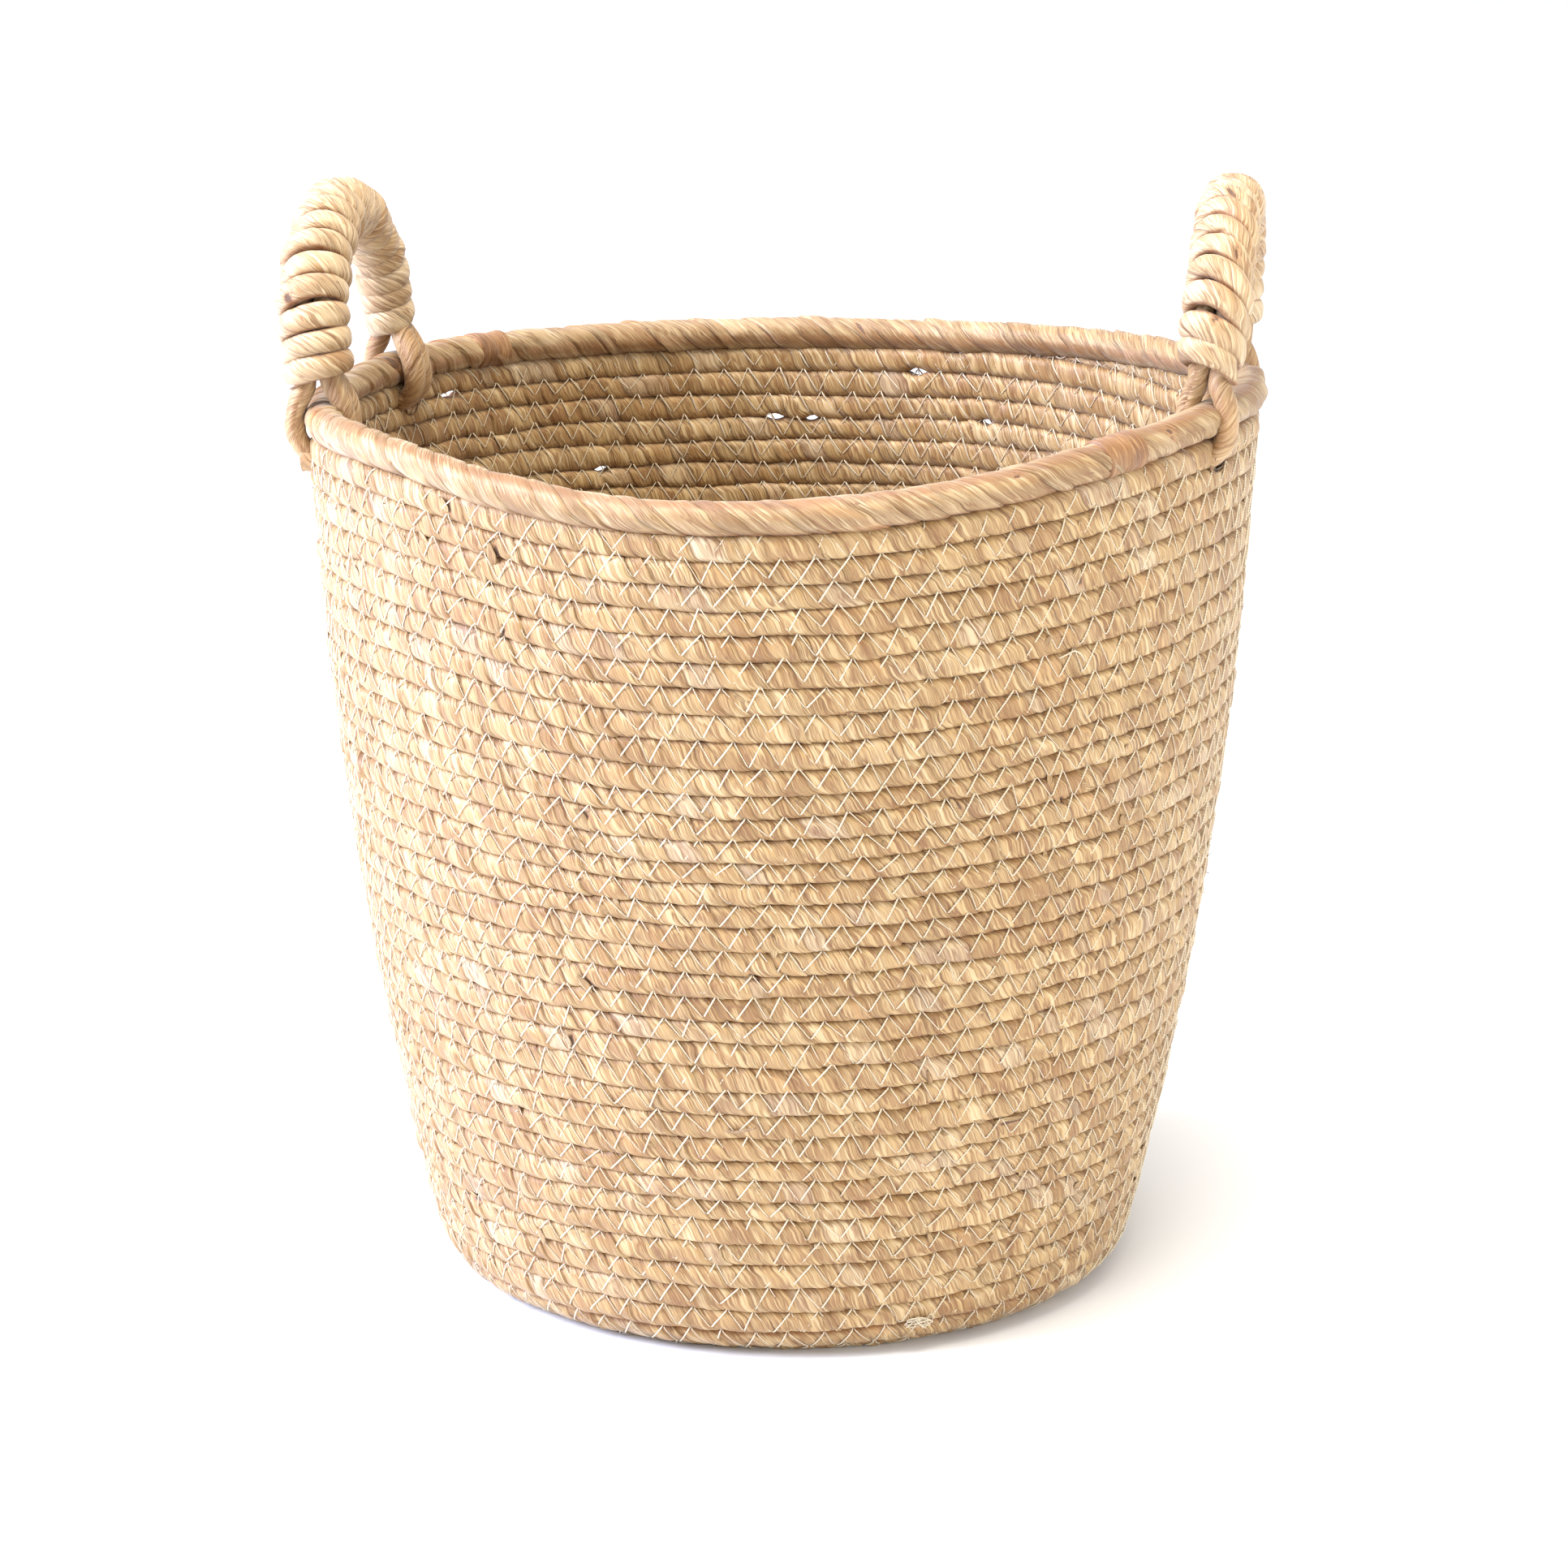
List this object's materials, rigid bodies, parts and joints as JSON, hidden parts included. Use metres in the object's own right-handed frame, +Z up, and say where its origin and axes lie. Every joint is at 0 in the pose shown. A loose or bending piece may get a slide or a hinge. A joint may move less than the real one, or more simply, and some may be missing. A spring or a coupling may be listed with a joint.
{
  "type": "woven laundry basket",
  "caption": "Tall round coiled husk-rope laundry basket, sewn with zigzag thread, open at the top, with rope-wrapped carrying handles looped round its rim.",
  "frame": {"origin": "on the floor under the middle of the base", "axes": "+Z up along the basket's axis, -X to the left handle, +X to the right handle, -Y to the front"},
  "size_m": [0.4036, 0.398, 0.4699],
  "materials": {
    "coil_husk": "twisted dry maize husk, matte",
    "rim_husk": "smoothly twisted dry maize husk, matte",
    "handle_husk": "wound husk strand, matte with a slight sheen",
    "strand_husk": "twisted husk strand, matte",
    "sewing_thread": "twisted cotton thread"
  },
  "bodies": {
    "basket": {"base_coil_inner": "coil_husk", "base_coil_outer": "coil_husk", "base_seam_under": "sewing_thread", "base_seam_upper": "sewing_thread", "left_front_loop": "strand_husk", "left_rear_loop": "strand_husk", "right_front_loop": "strand_husk", "right_rear_loop": "strand_husk", "rim_rope": "rim_husk", "rim_splice_back": "rim_husk", "rim_splice_front": "rim_husk", "wall_coil_1": "coil_husk", "wall_coil_2": "coil_husk", "wall_coil_3": "coil_husk", "wall_coil_4": "coil_husk", "wall_coil_5": "coil_husk", "wall_coil_6": "coil_husk", "wall_coil_7": "coil_husk", "wall_coil_8": "coil_husk", "wall_seam_inside": "sewing_thread", "wall_seam_outside": "sewing_thread"},
    "left_handle": {"left_handle_wrap": "handle_husk", "left_handle_core_outer": "strand_husk", "left_handle_core_inner": "strand_husk"},
    "right_handle": {"right_handle_wrap": "handle_husk", "right_handle_core_outer": "strand_husk", "right_handle_core_inner": "strand_husk"}
  },
  "joints": [
    {"name": "left_handle_swing", "type": "hinge", "parent": "basket", "child": "left_handle", "pos_m": [-0.18319, 0, 0.361], "axis": [0, -1, 0], "range_deg": [-45, 60]},
    {"name": "right_handle_swing", "type": "hinge", "parent": "basket", "child": "right_handle", "pos_m": [0.18319, 0, 0.361], "axis": [0, 1, 0], "range_deg": [-45, 60]}
  ]
}
